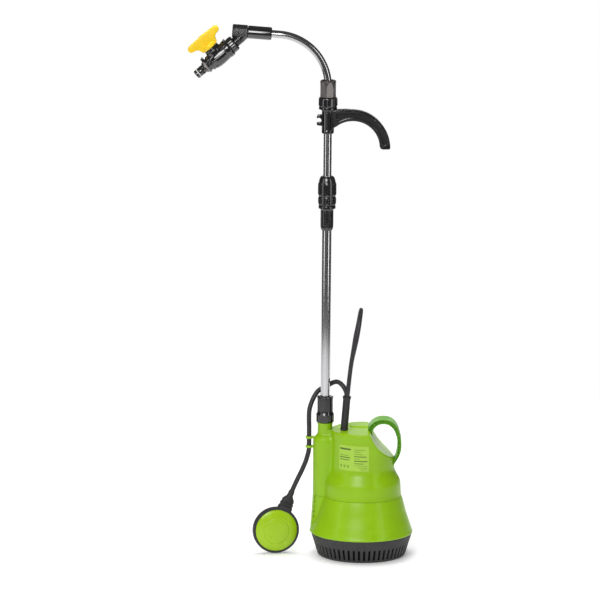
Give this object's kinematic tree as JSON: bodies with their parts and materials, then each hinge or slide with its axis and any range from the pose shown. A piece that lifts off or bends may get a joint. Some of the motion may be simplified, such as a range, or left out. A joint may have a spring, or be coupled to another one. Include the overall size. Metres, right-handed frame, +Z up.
{
  "type": "rain-barrel submersible pump",
  "caption": "Submersible barrel pump with slotted foot, side discharge column, telescopic riser with rim hook, gooseneck, ball valve and tethered float switch.",
  "frame": {"origin": "centre of the strainer foot's underside, on the floor", "axes": "+Z up along the motor shaft, -Y the front with the rating label, -X towards the discharge column and the valve"},
  "size_m": [0.3884, 0.3253, 0.9156],
  "materials": {
    "green_shell": "moulded, satin gloss",
    "foot_grey": "moulded, fine texture",
    "black_plastic": "moulded, satin",
    "inner_plastic": "moulded",
    "grip_grey": "soft-touch grey",
    "white_plastic": "moulded",
    "yellow_plastic": "moulded, satin gloss",
    "black_rubber": "matte rubber",
    "tube_metal": "polished drawn tube",
    "steel": "brushed",
    "lamination": "stacked sheet",
    "copper_winding": "enamelled wire",
    "brass": "turned",
    "label_film": "printed film, blank"
  },
  "bodies": {
    "pump": {"strainer_base": "foot_grey", "suction_plate": "inner_plastic", "base_screw_1": "steel", "base_screw_2": "steel", "base_screw_3": "steel", "lower_housing": "green_shell", "upper_housing": "green_shell", "carry_handle": "green_shell", "rating_label": "label_film", "volute_casing": "inner_plastic", "motor_end_cap": "inner_plastic", "motor_seal_ring": "black_rubber", "motor_can": "steel", "shaft_seal": "black_rubber", "lower_bearing": "steel", "stator_core": "lamination", "winding_lower": "copper_winding", "winding_upper": "copper_winding", "motor_top_bracket": "inner_plastic", "upper_bearing": "steel", "run_capacitor": "white_plastic", "cord_gland": "black_rubber", "float_cable_clip": "green_shell", "discharge_collar": "black_plastic", "lower_tube": "tube_metal", "clamp_sleeve": "black_plastic", "clamp_collet": "white_plastic", "float_cable_upper": "black_rubber", "power_cable": "black_rubber", "power_cord_coil": "black_rubber", "coil_tie": "white_plastic", "power_plug": "black_rubber"},
    "rotor": {"motor_shaft": "steel", "rotor_core": "lamination", "impeller": "inner_plastic", "impeller_nut": "brass"},
    "clamp": {"clamp_nut": "black_plastic"},
    "riser_guide": {"guide_bush": "white_plastic"},
    "riser": {"upper_tube": "tube_metal", "hook_fitting": "black_plastic", "connector_body": "black_plastic"},
    "connector_lock": {"lock_ring": "black_plastic"},
    "gooseneck": {"grip_nut": "grip_grey", "gooseneck_tube": "tube_metal", "elbow_body": "black_plastic", "knurled_end_cap": "black_plastic", "valve_union_nut": "black_plastic", "valve_body": "black_plastic", "outlet_nipple": "black_plastic", "nipple_o_ring_1": "black_rubber", "nipple_o_ring_2": "white_plastic"},
    "lever": {"valve_lever": "yellow_plastic", "valve_ball": "white_plastic", "lever_screw": "steel"},
    "float": {"float_rim": "black_rubber", "float_front": "green_shell", "float_back": "green_shell", "float_switch_capsule": "white_plastic", "float_boot": "black_rubber", "float_cable_lower": "black_rubber"}
  },
  "joints": [
    {"name": "rotor_spin", "type": "hinge", "parent": "pump", "child": "rotor", "pos_m": [0, 0, 0.1], "axis": [0, 0, 1], "continuous": true},
    {"name": "clamp_turn", "type": "hinge", "parent": "pump", "child": "clamp", "pos_m": [-0.064, 0, 0.63], "axis": [0, 0, 1], "range_deg": [0, 180]},
    {"name": "riser_slide", "type": "slide", "parent": "pump", "child": "riser_guide", "axis": [0, 0, 1], "range_m": [-0.07, 0.2]},
    {"name": "riser_turn", "type": "hinge", "parent": "riser_guide", "child": "riser", "pos_m": [-0.064, 0, 0.6], "axis": [0, 0, 1], "range_deg": [-180, 180]},
    {"name": "lock_slide", "type": "slide", "parent": "riser", "child": "connector_lock", "axis": [0, 0, 1], "range_m": [0, 0.004], "stiffness_N_per_m": 500, "springref_m": -0.004},
    {"name": "gooseneck_turn", "type": "hinge", "parent": "riser", "child": "gooseneck", "pos_m": [-0.064, 0, 0.79], "axis": [0, 0, 1], "continuous": true},
    {"name": "lever_turn", "type": "hinge", "parent": "gooseneck", "child": "lever", "pos_m": [-0.24993, 0, 0.86027], "axis": [-0.6573, 0, 0.7536], "range_deg": [0, 90]},
    {"name": "float_swing", "type": "hinge", "parent": "pump", "child": "float", "pos_m": [-0.091, 0, 0.186], "axis": [0, 1, 0], "range_deg": [0, 130], "deforming": ["float_cable_lower"]}
  ]
}
